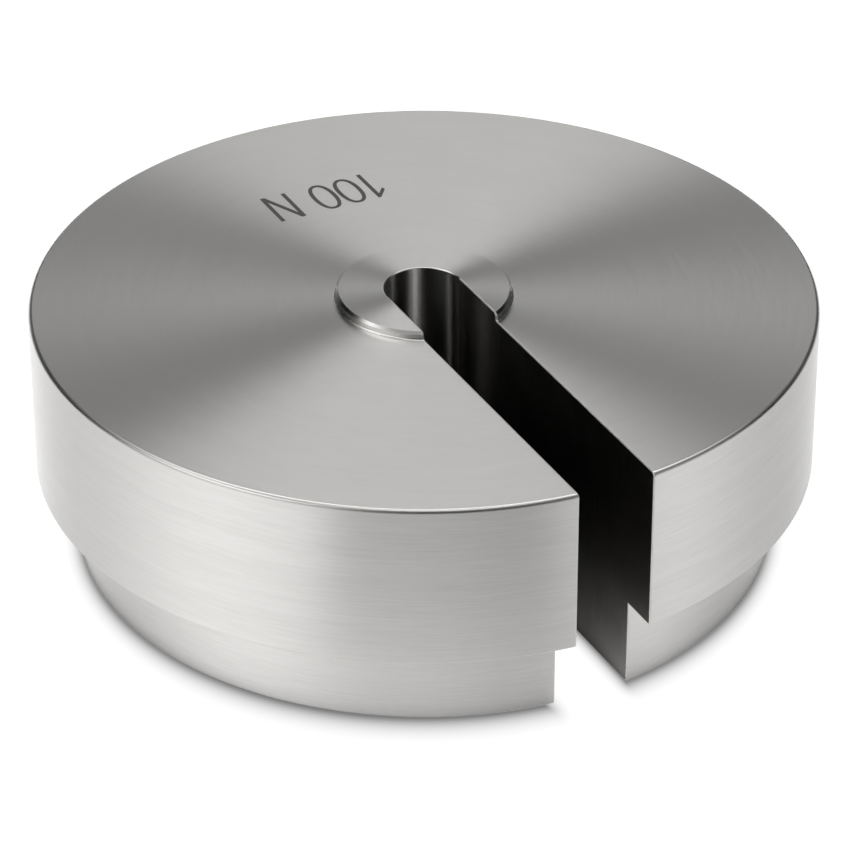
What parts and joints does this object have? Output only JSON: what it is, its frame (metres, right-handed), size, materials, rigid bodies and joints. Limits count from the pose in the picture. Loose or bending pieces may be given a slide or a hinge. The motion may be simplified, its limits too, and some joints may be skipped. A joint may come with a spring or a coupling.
{
  "type": "slotted calibration weight",
  "caption": "Round stepped steel weight with a slot open at one side, a centring boss on top and a shallow recess underneath, for stacking on a weight hanger.",
  "frame": {"origin": "centre of the face it stands on, on the axis of the turned body", "axes": "+Z along the axis of the turned body, up from the standing face to the centring boss; -Y out of the open side of the slot; X across the slot"},
  "size_m": [0.1782, 0.1777, 0.0617],
  "materials": {
    "turned_steel": "fine turned stainless steel, bright, with concentric tool marks"
  },
  "bodies": {
    "root": {"slotted_weight": "turned_steel"}
  },
  "joints": []
}
